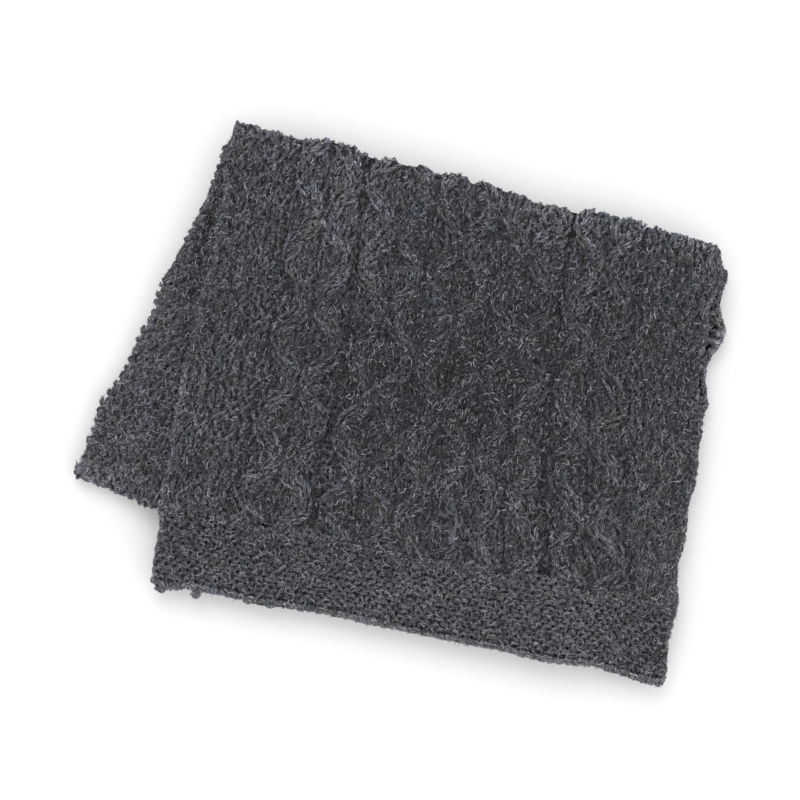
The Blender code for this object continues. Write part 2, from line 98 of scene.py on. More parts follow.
# Garter border
BORDER_TOP_LEFT, BORDER_TOP_RIGHT = 49.5, 45.5
GARTER_STITCHES = 61  # the border lies a little closer than the panel
GARTER_PITCH = 5.75  # from ridge to ridge
END_BEAD = 4.6

# Rows of the cabled panel: row | above the end
ROW_LINES = (
    (6, 70.1), (16, 109.9), (25, 146.6), (34, 184.7), (43, 222.7), (52, 261.2),
    (61, 299.7), (70, 338.2),
)

# The cast-on edge: across | how far up the scarf
END_LINE = (
    (-155, 2.4), (-143, -0.4), (-131, 1.7), (-60, 2.2), (25, 0.6), (97, -0.5),
    (121, 1), (145, -1), (160, -2.8), (166, -1.2),
)

# Lines along the top stretch, across the scarf:
# above the end | left edge | purl 1 | purl 2 | purl 3 | purl 4 | right edge
PANEL_LINES = (
    (-5, -153.5, -117, -64, 82, 137, 164.3),
    (30, -154, -117.2, -63.8, 81.5, 137.5, 164.5),
    (57, -155.5, -117, -63, 80.5, 136.8, 162.5),
    (83, -157, -114.5, -63.2, 74, 126.5, 159.5),
    (122, -156.8, -111.5, -62.6, 68, 119.5, 160),
    (172, -153, -110, -62.8, 62.8, 110.5, 153.5),
    (222, -151.8, -113.2, -67, 60, 106, 147.5),
    (272, -154.5, -113.2, -70.2, 59, 103.3, 146.5),
    (320, -155, -114, -71, 58, 103, 146.5),
)
LINE_COLUMNS = (0.0,) + PURL_COLUMNS + (float(STITCHES),)

BACK_FOLD_LEFT = (-153.0, 283.0)
BACK_FOLD_RIGHT = (146.0, 262.0)
BACK_FOLD_BOW, BACK_FOLD_RADIUS, FOLD_LIFT_REACH = 1.6, 1.0, 26.0

# Painted shade and light, and broad differences of tone: a painted shadow along the flap's left
# edge and painted light on the rims of the back fold and other edges. Lighter (+) and darker (-):
# across | up | reach across | reach up | change
PAINTED_LIGHT_AND_TONE_PLACES = (
    (-84, 230, 32, 34, 0.48), (20, 190, 110, 70, -0.2),
    (-200, 62, 36, 26, 0.2), (-196, 104, 26, 24, -0.2),
    (-25, 286, 130, 24, 0.6), (66, 243, 26, 18, 0.22),
    (-158, 215, 22, 70, -0.22), (148, 198, 26, 40, -0.3),
    (0, 4, 400, 48, 0.22), (88, 45, 60, 30, 0.12), (146, 22, 20, 30, -0.12),
    (158, 210, 9, 24, 0.7), (-183, 52, 26, 6, 0.4),
    (-159.5, 205, 3, 66, -0.6),
    (-165.5, 108, 6.5, 44, -0.34), (-155.5, 100, 4, 50, 0.2),
    (-206, 61, 9, 7, 0.45), (12, 155, 85, 80, -0.38),
    (-132, 96, 28, 30, 0.42), (-12, 41, 75, 9, -0.4),
    (-80, 287, 75, 10, 1.15), (105, 268, 60, 12, 0.95),
    (-182, 160, 14, 34, 0.24), (98, 82, 50, 26, 0.14),
    (-102, 212, 26, 26, 0.2),
)
# Places where the painted depth shade is weaker, as tones are drawn toward one value; this also
# paints the back fold's rim lighter: across | up | reach across | reach up | share
EVENED_SHADE_PLACES = (
    (-84, 232, 50, 50, 0.5), (-110, 285, 60, 9, 0.9),
    (-20, 280, 60, 9, 0.9), (80, 271, 60, 9, 0.8),
    (70, 246, 60, 24, 0.3),
)
# Slight pulls on the outline: across | up | reach across | reach up | pull across | pull up
PULLS = (
    (-185, 185, 26, 55, -2.2, 0), (-205, 92, 26, 50, -2.3, 0),
    (-177, 52, 24, 15, 0, -3.2), (-163, 50, 9, 9, 0, -2.2),
    (-208, 60, 10, 10, -2.4, -0.5),
    (-88, 282, 28, 22, 0, 2.4), (-14, 277, 22, 22, 0, 2.6),
    (104, 268, 34, 20, 0, 3), (150, 254, 9, 13, 5, -1),
    (56, 272, 11, 16, 0, -3), (80, 270, 9, 14, 0, 2),
    (158, 212, 14, 18, 3.6, 0), (158, 155, 12, 18, 3.2, 0),
    (160, 103, 12, 22, 2.8, 0), (-84, 2, 14, 9, 0, -1.8),
    (150, -3, 12, 9, 0, -1.6),
)

# Edges of the second stretch from the back seam to its front fold:
# share of the way | left x | left y | right x | right y
SECOND_EDGES = (
    (0.00, -155.5, 274.8, 146, 253.6),
    (0.12, -160, 250, 140.8, 225),
    (0.28, -167.5, 215, 134, 186.9),
    (0.46, -179, 177, 126.2, 144.1),
    (0.62, -187, 143, 119.3, 106),
    (0.76, -197, 113, 113.3, 72.6),
    (0.89, -204.5, 86, 107.7, 41.7),
    (1.00, -207, 61.6, 103, 15.5),
)
FRONT_FOLD_RADIUS = 0.3
WALE_HEIGHT, PUCKER_HEIGHT = 1.2, 0.8  # relief of its wrong side
# Waves of the side edges
LOBE_DEPTH, TOP_LOBE_DEPTH, LOBE_PITCH, LOBE_PHASE = 1.5, 0.9, 41.0, 0.8
# The top stretch stands out near its back right corner
BACK_CORNER_SWELL, BACK_CORNER_UP, BACK_CORNER_REACH = 5.0, 246.0, 22.0

# Hidden layers, from the floor up: front left x, y | front right x, y | back right x, y |
# back left x, y
HIDDEN_CORNERS = (
    (-147, 9.5, 155, 7, 150, 257.5, -149, 279.5),
    (-150, 6.5, 157, 5, 154.5, 255.5, -150, 281.5),
    (-148.5, 8, 158, 6, 157.5, 255, -149.5, 280.5),
    (-203.8, 70.4, 102, 24.6, 145, 260, -153, 282),
)
LAYER_LOBES = (1.5, 1.5, 2.5, 0.6)
# The upper layers' overhang on the left
OVERHANG_EDGE, OVERHANG_REACH, OVERHANG_DROP, OVERHANG_SLACK = -150.0, 46.0, 9.5, 1.5
LAYER_CORNER = 9.0  # radius of the lower layers' corners

# Heights of the stack
GAP = 0.3
HIDDEN_TOP = 4 * PRESSED_LAYER
SECOND_FLOOR = HIDDEN_TOP + GAP
SECOND_TOP = SECOND_FLOOR + WALL
TOP_FLOOR = SECOND_TOP + GAP
FLAP_DROP = TOP_FLOOR - (3 * PRESSED_LAYER + 2 * GAP)
FLAP_CLEARANCE, FLAP_DROP_REACH = 5.0, 44.0

# Colours
WOOL_BLACK, WOOL_DARK = (0.012, 0.012, 0.014), (0.0265, 0.026, 0.0325)
WOOL_LIGHT, WOOL_PALE = (0.203, 0.1995, 0.2345), (0.42, 0.418, 0.46)
TINT_BLUE, TINT_OLIVE = (0.052, 0.082, 0.094), (0.085, 0.080, 0.055)
CAST_WARM, CAST_BLUE = (1.04, 0.992, 1.0), (0.97, 0.998, 1.045)
# the ground's colours, darker than the yarn's, are painted shade between stitches
GROUND_DARK, GROUND_LIGHT = (0.009, 0.009, 0.0102), (0.070, 0.069, 0.079)
FIBRE_BLACK, FIBRE_DARK = (0.010, 0.010, 0.012), (0.055, 0.055, 0.063)

# Fibres: name | number | points along each | longest | spread of their way
FIBRES = (("loose_fibres", 48000, 3, 4.6, 0.65), ("stray_fibres", 96000, 2, 2.4, 1.0))

# The photograph's view: millimetres to a pixel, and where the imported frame's zero shows
PIXEL = 0.607
PICTURE_TURN = radians(10.6)
PICTURE_ZERO = (406.7, 395.8)
PICTURE_SIZE = 800


# ==== small helpers

def smoothstep(value, start, end):
    """0 before start, 1 after end, and a smooth rise between them."""
    share = np.clip((value - start) / (end - start), 0, 1)
    return share * share * (3 - 2 * share)


def mixed(first, second, share):
    return first + (second - first) * share


def read_table(table, position, column):
    """A column's values at positions in the table's first column, on a smooth curve."""
    places, values = np.asarray(table)[:, (0, column)].T
    last = len(places) - 1
    end = np.clip(np.searchsorted(places, position, side="right"), 1, last)
    start, before, after = end - 1, np.maximum(end - 2, 0), np.minimum(end + 1, last)
    span = places[end] - places[start]
    share = np.clip((position - places[start]) / span, 0, 1)
    slope_start = (values[end] - values[before]) / (places[end] - places[before])
    slope_end = (values[after] - values[start]) / (places[after] - places[start])
    return ((2 * share ** 3 - 3 * share ** 2 + 1) * values[start]
            + (share ** 3 - 2 * share ** 2 + share) * span * slope_start
            + (3 * share ** 2 - 2 * share ** 3) * values[end]
            + (share ** 3 - share ** 2) * span * slope_end)


def points_of(x, y, z):
    return np.stack((x, y, z), axis=-1)


def quads_between(first, second):
    """Corners of the quads between two rows of points."""
    quads = np.stack((first[:, :-1], second[:, :-1], second[:, 1:], first[:, 1:]), axis=-1)
    return quads.reshape(-1, 4)


def unit(vectors):
    return vectors / np.maximum(np.linalg.norm(vectors, axis=-1, keepdims=True), 1e-9)


def wander(x, y, reach, seed):
    """Smooth unevenness between about -1 and 1, with waves of about the reach."""
    waves = np.random.default_rng(seed)
    total = 0
    for _ in range(6):
        direction = waves.uniform(0, 2 * pi)
        length = reach * waves.uniform(0.7, 1.5)
        phase = waves.uniform(0, 2 * pi)
        total = total + np.sin(
            2 * pi * (x * cos(direction) + y * sin(direction)) / length + phase)
    return total / 3


def falloff(x, y, spot):
    """1 at a place and less away from it, from its place and reaches."""
    return np.exp(-((x - spot[0]) / spot[2]) ** 2 - ((y - spot[1]) / spot[3]) ** 2)


class Fold:
    """A turn of the cloth through half a circle about a straight line."""

    def __init__(self, left, right, radius, forward):
        self.left = np.array(left)
        self.along = unit(np.array(right) - self.left)
        across = np.array((-self.along[1], self.along[0]))
        self.across = across if across[1] * forward > 0 else -across
        self.radius = radius
        self.turn = pi * (radius + WALL / 2)

    def distance(self, x, y):
        """How far a point of the flat cloth lies past the line."""
        return (x - self.left[0]) * self.across[0] + (y - self.left[1]) * self.across[1]

    def moved(self, x, y, way):
        """Places moved across the line."""
        return x + self.across[0] * way, y + self.across[1] * way

    def foot(self, x, y):
        return self.moved(x, y, -self.distance(x, y))

    def angle(self, x, y):
        return np.clip(self.distance(x, y) / self.turn, 0, 1) * pi

    def place(self, x, y, height, axis_z):
        """Points at a height above the inner face, on the turn or beyond it."""
        angle = self.angle(x, y)
        beyond = np.maximum(self.distance(x, y) - self.turn, 0)
        reach = (self.radius + height) * np.sin(angle) - beyond
        return points_of(*self.moved(*self.foot(x, y), reach),
                         axis_z + (self.radius + height) * np.cos(angle))


back_fold = Fold(BACK_FOLD_LEFT, BACK_FOLD_RIGHT, BACK_FOLD_RADIUS, forward=1)
front_fold = Fold(SECOND_EDGES[-1][1:3], SECOND_EDGES[-1][3:5], FRONT_FOLD_RADIUS, forward=-1)


# ==== cloth surfaces

def past_second(x, y):
    """How far places lie before the second stretch or to its right."""
    past_front = front_fold.distance(x, y) - WALL
    right_start = np.array(SECOND_EDGES[0][3:5])
    along = unit(np.array(SECOND_EDGES[-1][3:5]) - right_start)
    past_right = -(x - right_start[0]) * along[1] + (y - right_start[1]) * along[0]
    return np.hypot(np.maximum(past_front, 0), np.maximum(past_right, 0))


def near_back(x, y):
    """0 on the open cloth, rising to 1 at the back fold."""
    return smoothstep(back_fold.distance(x, y), -FOLD_LIFT_REACH, 0)


def flap_floor(x, y):
    """Inner face of the top stretch, on the second one or sunk beside it."""
    sunk = FLAP_DROP * smoothstep(past_second(x, y), FLAP_CLEARANCE,
                                  FLAP_CLEARANCE + FLAP_DROP_REACH)
    return TOP_FLOOR - sunk + (2 * BACK_FOLD_RADIUS - GAP) * near_back(x, y)


def settled(x, y, z):
    """How far points of the flap sink further where nothing holds them up."""
    near_fold = back_fold.distance(x, y) > -12
    lowest = np.where(near_fold, SECOND_FLOOR - 0.15, flap_floor(x, y) - 0.8)
    outside = past_second(x, y)
    starts, full, eases, ends = SETTLING_SPAN
    hanging = smoothstep(outside, starts, full) * (1 - smoothstep(outside, eases, ends))
    return np.where(z > lowest, SETTLING * hanging, 0)


def top_point(x, y, height):
    """Points above the top stretch's inner face, round the back fold too."""
    across = np.clip((x - BACK_FOLD_LEFT[0]) / (BACK_FOLD_RIGHT[0] - BACK_FOLD_LEFT[0]), 0, 1)
    under = smoothstep(back_fold.angle(x, y), radians(60), radians(180))
    bow = -BACK_FOLD_BOW * np.sin(pi * across) * near_back(x, y) * (1 - under)
    flat = points_of(x, y, flap_floor(x, y) + height)
    turned = back_fold.place(x, y, height, flap_floor(*back_fold.foot(x, y)) - BACK_FOLD_RADIUS)
    points = np.where((back_fold.distance(x, y) <= 0)[..., None], flat, turned)
    points[..., 1] += bow
    return points


def pulled(column):
    """Stitch columns drawn together over the sunk purl lines."""
    for purl in PURL_COLUMNS:
        away = column - purl
        column = column - PURL_PULL * np.clip(2 * away, -1, 1) * np.exp(
            -np.maximum(np.abs(away) - 0.5, 0) / PURL_PULL_REACH)
    return column


def column_x(column, y):
    """Place of a stitch column across the scarf, at a distance above the end."""
    column, y = np.broadcast_arrays(np.asarray(column, float), y)
    right = np.clip(np.searchsorted(LINE_COLUMNS, column, side="left"), 1, len(LINE_COLUMNS) - 1)
    lines = np.stack([read_table(PANEL_LINES, y, 1 + n) for n in range(len(LINE_COLUMNS))])
    wave = 2 * pi * y / LOBE_PITCH
    lines[0] -= TOP_LOBE_DEPTH * np.sin(wave - LOBE_PHASE)
    lines[-1] += TOP_LOBE_DEPTH * np.sin(wave + LOBE_PHASE) + BACK_CORNER_SWELL * np.exp(
        -((y - BACK_CORNER_UP) / BACK_CORNER_REACH) ** 2)
    columns = np.array(LINE_COLUMNS)
    share = (column - columns[right - 1]) / (columns[right] - columns[right - 1])
    pick = np.indices(right.shape)
    return mixed(lines[(right - 1, *pick)], lines[(right, *pick)], share)


def border_top(column):
    """Where the border meets the cabled panel."""
    return mixed(BORDER_TOP_LEFT, BORDER_TOP_RIGHT, column / STITCHES)


def row_y(column, row):
    """Distance above the end of a row of the cabled panel."""
    level_row, level_y = ROW_LINES[0]
    return np.where(row < level_row, mixed(border_top(column), level_y, row / level_row),
                    read_table(ROW_LINES, row, 1))


def top_place(column, row, height):
    """Points on the top stretch by stitch column, row and height."""
    y = row_y(column, row)
    column = pulled(column)
    x = column_x(column, y)
    past = back_fold.distance(x, y)
    across = (column_x(column, np.full_like(y, back_fold.left[1]))
              - back_fold.left[0]) / back_fold.along[0]
    fold_x, fold_y = back_fold.moved(back_fold.left[0] + back_fold.along[0] * across,
                                     back_fold.left[1] + back_fold.along[1] * across, past)
    share = smoothstep(past, -20, 0)
    return top_point(mixed(x, fold_x, share), mixed(y, fold_y, share), height)


def border_place(column, up, height):
    """Points on the border by its own columns, the way up from its edge, and height."""
    column = column * STITCHES / GARTER_STITCHES
    share = up / (border_top(STITCHES / 2) - GAP)
    left, right = (column_x(edge, share * border_top(column)) for edge in (0, STITCHES))
    x = mixed(left, right, column / STITCHES)
    y = mixed(read_table(END_LINE, x, 1), border_top(column) - GAP, share)
    return points_of(x, y, flap_floor(x, y) + height)


def overhang_drop(x):
    """How far the upper layers sink where they stick out on the left."""
    return OVERHANG_DROP * smoothstep(-x, -OVERHANG_EDGE, -OVERHANG_EDGE + OVERHANG_REACH)


SECOND_LENGTH = SECOND_EDGES[0][2] - SECOND_EDGES[-1][2]


def second_place(column, row, height):
    """Points on the second stretch by column, rows from the back seam, and height."""
    along = np.clip(row * STITCH_ROW / SECOND_LENGTH, 0, 1)
    past = np.maximum(row * STITCH_ROW - SECOND_LENGTH, 0)
    share = column / STITCHES
    left_x, left_y, right_x, right_y = (read_table(SECOND_EDGES, along, n) for n in (1, 2, 3, 4))
    bulge = np.sin(2 * pi * along * SECOND_LENGTH / LOBE_PITCH)
    left_x = left_x - LOBE_DEPTH * bulge * np.sin(pi * along)
    x, y = front_fold.moved(mixed(left_x, right_x, share), mixed(left_y, right_y, share), past)
    turned = past > 0
    sunk = overhang_drop(np.where(turned, front_fold.foot(x, y)[0], x))
    flat = points_of(x, y, SECOND_FLOOR - sunk + height)
    under = front_fold.place(x, y, height, SECOND_FLOOR - FRONT_FOLD_RADIUS - sunk)
    return np.where(turned[..., None], under, flat)


def layer_corners(layer):
    return np.reshape(HIDDEN_CORNERS[layer], (4, 2))


def side_corners(layer, side):
    front_left, front_right, back_right, back_left = layer_corners(layer)
    return (front_left, back_left) if side < 0 else (front_right, back_right)


def corner_cut(nearest):
    """How far a rounded corner draws an edge in, by the way to the nearest end."""
    return LAYER_CORNER - np.sqrt(np.maximum(
        LAYER_CORNER ** 2 - np.maximum(LAYER_CORNER - nearest, 0) ** 2, 0))


def round_edge(radius, around, height):
    """Way in from an edge's outermost line, and up, by the arc from that line."""
    quarter = radius * pi / 2
    angle = np.clip(around, -quarter, quarter) / radius
    inwards = radius - (radius + height) * np.cos(angle) + np.maximum(np.abs(around) - quarter, 0)
    return inwards, (radius + height) * np.sin(angle)


def side_place(layer, side, around, y, height):
    """Points round a hidden layer's side edge, by the arc up from its outermost line."""
    front, back = side_corners(layer, side)
    share = (y - front[1]) / (back[1] - front[1])
    edge_x = mixed(front[0], back[0], share)
    wave = np.sin(2 * pi * (y / LOBE_PITCH + 0.3 * (layer - 2)))
    ends = np.minimum(2.5 * np.sin(pi * np.clip(share, 0, 1)), 1)
    edge_x = edge_x + side * LAYER_LOBES[layer] * wave * ends
    edge_x = edge_x - side * corner_cut(np.minimum(y - front[1], back[1] - y))
    inwards, up = round_edge(PRESSED_LAYER / 2, around, height)
    x = edge_x - side * inwards
    z = (layer + 0.5) * PRESSED_LAYER + up
    if layer == 3:
        z = z - overhang_drop(x) - OVERHANG_SLACK * smoothstep(-x, 145, 160)
    return points_of(x, y, z)


def end_place(lower_layer, end, span, column, around, height):
    """Points round the front (-1) or back (1) end of one or two hidden layers, by the arc down."""
    corners = layer_corners(lower_layer)
    left, right = corners[:2] if end < 0 else corners[:1:-1]
    share = 0.01 + 0.98 * column / STITCHES
    spot = mixed(left, right, share[..., None])
    inwards, up = round_edge(span * PRESSED_LAYER / 2, around, height)
    inwards = inwards + corner_cut(np.minimum(share, 1 - share) * (right[0] - left[0]))
    z = (lower_layer + span / 2) * PRESSED_LAYER - up
    return points_of(spot[..., 0], spot[..., 1] - end * inwards, z)


# ==== yarn meshes

def strand_side(row):
    """+1 where a pair of cables stands apart, -1 where it has closed."""
    wave = np.sin(2 * pi * (row - FIRST_CROSSING) / CABLE_PERIOD)
    return wave * np.sqrt((1 + CROSSING_SOFTNESS) / (wave * wave + CROSSING_SOFTNESS))


class Yarn:
    """Gathers short lengths of three-ply yarn and makes one mesh of them."""

    def __init__(self, lightness=1, unlikeness=0.28):
        # lightness paints a whole piece lighter, as painted light against the shade it lies in
        self.lightness, self.unlikeness = lightness, unlikeness
        self.points, self.quads, self.caps, self.coordinates = [], [], [], []
        self.tones, self.outwards, self.runs = [], [], []
        self.count = 0

    def add(self, centres, ups, radii, under=0, shade=1, sides=6):
        """Closed tubes along centres (number, steps, 3), lobed by their plies, which twist.

        under is the depth of their upper side under the crest, for the painted shade of deep yarn.
        """
        number, steps = centres.shape[:2]
        tangents = unit(np.gradient(centres, axis=1))
        across = unit(np.cross(ups, tangents))
        ups = np.cross(tangents, across)
        stretches = np.linalg.norm(np.diff(centres, axis=1, prepend=centres[:, :1]), axis=-1)
        lengths = np.cumsum(stretches, axis=1) + random.uniform(0, 400, (number, 1))
        around = 2 * pi * np.arange(sides) / sides
        turned = (around + PLY_TWIST * lengths[..., None])[..., None]
        outwards = across[:, :, None] * np.cos(turned) + ups[:, :, None] * np.sin(turned)
        reach = radii[:, :, None] * (1 + PLY_RELIEF * np.cos(3 * around))
        points = centres[:, :, None] + reach[..., None] * outwards
        coordinates = points_of(*np.broadcast_arrays(
            radii[:, :, None] * np.cos(around), radii[:, :, None] * np.sin(around),
            lengths[:, :, None]))
        index = (self.count + np.arange(number * steps * sides)).reshape(number, steps, sides)
        self.quads.append(quads_between(index, np.roll(index, -1, axis=2)))
        self.caps.append(np.concatenate((index[:, 0, ::-1], index[:, -1])).reshape(-1, sides))
        runs = np.broadcast_to(tangents[:, :, None], points.shape)
        for parts, values in ((self.points, points), (self.coordinates, coordinates),
                              (self.outwards, outwards), (self.runs, runs)):
            parts.append(values.reshape(-1, 3))
        under, shade = (np.broadcast_to(part, radii.shape)[..., None] for part in (under, shade))
        depth = under + radii[..., None] * (1 - np.sin(turned[..., 0]))
        tones = (1 + self.unlikeness * random.uniform(-1, 1, (number, 1, 1))) * shade
        # painted shade: the deeper a point of the yarn lies, the darker its tone
        tones = tones * mixed(1, DEEPEST_SHADE, smoothstep(depth, SHADE_START, SHADE_END))
        self.tones.append(tones.reshape(-1))
        self.count += number * steps * sides

    def mesh(self, name):
        faces = [np.concatenate(self.quads)] + self.caps
        corners = np.concatenate([group.reshape(-1) for group in faces])
        sizes = np.concatenate([np.full(len(group), group.shape[1]) for group in faces])
        points = np.concatenate(self.points)
        mesh = mesh_from(name, points, corners, sizes)
        # painted shadow and light, and broad differences of tone, of the listed places
        light_and_tone, evened = (sum(spot[4] * falloff(points[:, 0], points[:, 1], spot) for spot in places)
                        for places in (PAINTED_LIGHT_AND_TONE_PLACES, EVENED_SHADE_PLACES))
        # painted depth shade is weakened where tones are drawn toward one value
        tones = mixed(np.concatenate(self.tones), EVENED_TONE,
                      np.minimum(evened, MOST_EVENED) * (points[:, 2] > SECOND_FLOOR))
        set_attribute(mesh, "yarn", "FLOAT_VECTOR", "vector", np.concatenate(self.coordinates))
        set_attribute(mesh, "tone", "FLOAT", "value", (self.lightness + light_and_tone) * tones)
        return mesh


def mesh_from(name, points, corners, sizes):
    """Mesh from design points in millimetres and faces of the given sizes."""
    x, y, z = points.T
    moved = points + points_of(
        SLACKNESS * wander(x, y, SLACK_WAVE, 3), SLACKNESS * wander(x, y, SLACK_WAVE, 4),
        UNEVENNESS * z * wander(x, y, HEIGHT_WAVE, 5))
    for spot in PULLS:
        moved[:, :2] += falloff(x, y, spot)[:, None] * np.array(spot[4:])
    moved[:, 2] = np.maximum(moved[:, 2] - settled(x, y, z), 0)
    mesh = bpy.data.meshes.new(name)
    mesh.vertices.add(len(points))
    mesh.vertices.foreach_set("co", ((moved + ORIGIN) * MM).reshape(-1))
    mesh.loops.add(len(corners))
    mesh.loops.foreach_set("vertex_index", corners.astype(np.int32))
    mesh.polygons.add(len(sizes))
    starts = np.concatenate(([0], np.cumsum(sizes)[:-1]))
    mesh.polygons.foreach_set("loop_start", starts.astype(np.int32))
    mesh.polygons.foreach_set("use_smooth", np.ones(len(sizes), bool))
    mesh.update(calc_edges=True)
    mesh.validate()
    return mesh


def set_attribute(mesh, name, kind, field, values):
    attribute = mesh.attributes.new(name, kind, "POINT")
    attribute.data.foreach_set(field, values.astype(np.float32).reshape(-1))


def with_ups(place, column, row, height):
    """Points of a surface at a height, and the directions away from it."""
    points = place(column, row, height)
    return points, unit(place(column, row, height + 0.5) - points)


# Half of a knit stitch from its foot to where it tucks away:
# rows up | stitches out from the middle | height over the crest | share of full thickness
LEG = np.array((
    (-0.28, 0.02, -1.95, 0.60),
    (0.02, 0.12, -0.60, 0.96),
    (0.36, 0.25, 0.00, 1.08),
    (0.74, 0.37, -0.05, 1.08),
    (1.08, 0.40, -0.90, 0.94),
    (1.34, 0.30, -2.05, 0.60),
))
# Its unevenness: rows | share of spread | stitches sideways | lean | depth | share of size
LEG_JITTER = (0.16, 0.14, 0.065, 0.17, 0.38, 0.08)


def leg_batch(columns, rows):
    """Both halves of each stitch: rows, sideways offsets, heights and thicknesses."""
    columns, rows = (np.asarray(a, float).reshape(-1) for a in np.meshgrid(columns, rows))
    sides = np.repeat((-1, 1), len(columns))
    columns, rows = np.tile(columns, 2), np.tile(rows, 2)
    jitter = random.normal(0, 1, (6, len(columns), 1)) * np.array(LEG_JITTER)[:, None, None]
    up = rows[:, None] + LEG_ROWS * LEG[:, 0] * (1 + jitter[5]) + jitter[0]
    out = sides[:, None] * LEG[:, 1] * (1 + jitter[1]) + jitter[2]
    out = out + np.linspace(-1, 1, len(LEG)) * jitter[3]
    return columns, up, out, LEG[:, 2] + jitter[4], YARN * LEG[:, 3] * (1 + jitter[5])


def add_plain_stitches(yarn, place, columns, rows, crest, sides=6):
    """Knit stitches in straight wales; crest gives the outer height at columns and rows."""
    columns, up, out, under, thick = leg_batch(columns, rows)
    column = columns[:, None] + 0.5 + out
    height = crest(column, up) - YARN + under
    yarn.add(*with_ups(place, column, up, height), thick, -under, sides=sides)


def add_cable_strand(yarn, place, first, turn, front, rows):
    """The two wales of one strand, which change sides within their four stitches."""
    columns, up, out, under, thick = leg_batch((-0.5, 0.5), rows)
    side = turn if front else -turn
    crossing = 1 - np.minimum(np.abs(strand_side(up)), 1)
    squeeze = FRONT_SQUEEZE if front else BACK_SQUEEZE + BACK_SPREAD * crossing
    offset = (columns[:, None] + out) * squeeze
    middle = first + 2 + side * strand_side(up)
    slope = side * (strand_side(up + 0.05) - strand_side(up - 0.05)) / 0.1
    slope = slope * STITCH_WIDTH / STITCH_ROW
    length = np.sqrt(1 + slope * slope)
    column = middle + offset / length
    row = up - offset * slope / length * STITCH_WIDTH / STITCH_ROW
    rise = smoothstep(row, -2, 2)
    # painted light on the raised front strands' crowns, painted shade on the sunk back strands at
    # crossings
    if front:
        crown = np.sqrt(np.maximum(1 - (offset / CABLE_HALF_WIDTH) ** 2, 0.05))
        height = WALL + rise * (CABLE_HEIGHT + CROSSING_LIFT * crossing) * crown - YARN + under
        shade = FRONT_SHADE + CROWN_SHADE * crown
    else:
        height = WALL + 0.15 - YARN - CROSSING_SINK * crossing + under
        shade = BACK_SHADE - CROSSING_SHADE * crossing
        thick = thick * (1 + CROSSING_SWELL * crossing)
    yarn.add(*with_ups(place, column, row, height), thick, -under, shade, 6 if front else 5)


def add_bumps(yarn, place, columns, rows, bend, crest, reach=0.32, rise=0.42, thickness=1.2,
              sink=2.6, shade=1, disorder=1, bare=0, sides=6):
    """Purl bumps: short thick arcs across the cloth, bent up (+1) or down (-1) the scarf.

    bare is how much less deep they count for their painted shade.
    """
    columns, rows = (np.asarray(a, float).reshape(-1, 1) for a in np.meshgrid(columns, rows))
    number = len(columns)
    jitter = disorder * random.normal(0, 1, (6, number, 1))
    t = np.linspace(-1, 1, 6)
    bow = np.cos(t * pi / 2)
    column = columns + reach * np.sin(t * pi / 2) * (1 + 0.07 * jitter[0]) + 0.05 * jitter[1]
    row = rows + bend * rise * (bow - 0.5) + 0.07 * jitter[2] + 0.10 * t * jitter[4]
    under = sink * (1 - bow ** 0.7) + 0.28 * jitter[3]
    height = crest(column, row) - YARN * thickness - under
    radii = YARN * thickness * (1 - 0.40 * np.abs(t) ** 3) * (1 + 0.09 * jitter[5])
    yarn.add(*with_ups(place, column, row, height), radii, under - bare, shade, sides)


WRONG_SIDE = {"reach": 0.30, "rise": 0.65, "thickness": 1, "sink": 1.8, "shade": 1,
              "disorder": 2.2, "bare": 0.7}


def add_edge_loops(yarn, place, start, end, pitch, shade=1.2, sides=6):
    """Slanted loops along an edge, in two courses that overlap.

    place takes the way along, the turn round the edge from its upper side, and how far out of it.
    """
    t = np.linspace(-1, 1, 7)
    for shift, upper, lower, share in ((0, 0.10, 0.72, 1), (0.5, 0.45, 1.02, 0.92)):
        along = np.arange(start + shift * pitch, end, pitch)[:, None]
        jitter = random.normal(0, 1, (5, len(along), 1))
        along = along + pitch * ((0.68 + 0.10 * jitter[0]) * t + 0.12 * jitter[1])
        turn = pi * (mixed(upper, lower, (t + 1) / 2) + 0.08 * jitter[2])
        out = (0.50 + 0.50 * jitter[3]) * np.cos(t * pi / 2) - 1.1 * np.abs(t) ** 3
        radii = YARN * share * (1.12 - 0.3 * t ** 4) * (1 + 0.08 * jitter[4])
        # a shade above 1 and a shallower counted depth paint the edge's rim lighter, as painted
        # light
        yarn.add(*with_ups(place, np.clip(along, start, end), turn, out), radii,
                 0.8 * np.abs(t) ** 3 - 1, shade, sides)


def add_knot(yarn, spot, size):
    """A small knotted lump: an end of yarn wound round itself."""
    t = np.linspace(0, 1, 34)
    turn = 2 * pi * 2.6 * t
    swell = size * (0.1 + 0.6 * t)
    line = points_of(spot[0] + swell * np.cos(turn), spot[1] + 0.85 * swell * np.sin(turn),
                     spot[2] + 0.35 * size * np.sin(turn * 0.61))[None]
    ups = unit(line - np.array(spot) + (0, 0, 0.6))
    yarn.add(line, ups, np.full(line.shape[:2], YARN), shade=1.3)


def new_object(name, data):
    added = bpy.data.objects.new(name, data)
    bpy.context.scene.collection.objects.link(added)
    return added


def piece_from(name, mesh, material):
    mesh.materials.append(material)
    piece = new_object(name, mesh)
    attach(piece, "root")
    return piece


# ==== materials

def new_material(name):
    material = bpy.data.materials.new(name)
    material.use_nodes = True
    return material, material.node_tree


def fill_sockets(tree, node, values):
    """Sets each socket to its number or colour, or links what makes it."""
    for key, value in values:
        socket = node.inputs[key]
        if isinstance(value, bpy.types.NodeSocket):
            tree.links.new(value, socket)
        elif isinstance(value, tuple) and len(value) < len(socket.default_value):
            socket.default_value = (*value, 1)
        else:
            socket.default_value = value


